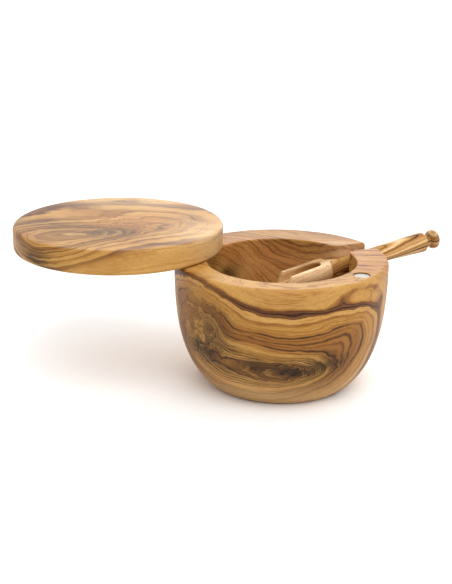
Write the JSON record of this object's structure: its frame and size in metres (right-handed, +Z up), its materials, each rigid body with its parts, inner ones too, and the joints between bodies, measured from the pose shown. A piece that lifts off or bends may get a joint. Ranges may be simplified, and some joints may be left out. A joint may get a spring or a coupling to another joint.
{
  "type": "salt keeper with swivel lid and scoop",
  "caption": "Round turned wooden salt keeper with a thick disc lid that swings sideways on a pin in the rim, held shut by magnets, and a turned scoop lying in a notch in the rim.",
  "frame": {"origin": "centre of the flat foot that the bowl stands on", "axes": "+Z up, out of the foot through the mouth; the scoop's notch points between +X and +Y, 29.5 degrees from +X; the lid is swung open towards -X"},
  "size_m": [0.2231, 0.1218, 0.0777],
  "materials": {
    "bowl_wood": "oiled satin olive wood, dark brown figured grain",
    "lid_wood": "oiled satin olive wood, dark brown figured grain",
    "scoop_wood": "oiled satin olive wood, striped grain",
    "pin_steel": "ground",
    "magnet_nickel": "nickel plated"
  },
  "bodies": {
    "bowl": {"bowl": "bowl_wood", "pivot_pin": "pin_steel", "rim_magnet": "magnet_nickel"},
    "lid": {"lid": "lid_wood", "lid_magnet": "magnet_nickel"},
    "scoop": {"scoop": "scoop_wood"}
  },
  "joints": [
    {"name": "lid_swing", "type": "hinge", "parent": "bowl", "child": "lid", "pos_m": [-0.0389, 0.02673, 0.0652], "axis": [0, 0, 1], "range_deg": [-160, 129.6]},
    {"name": "scoop_lift", "type": "slide", "parent": "bowl", "child": "scoop", "axis": [0, 0, 1], "range_m": [0, 0.09]}
  ]
}
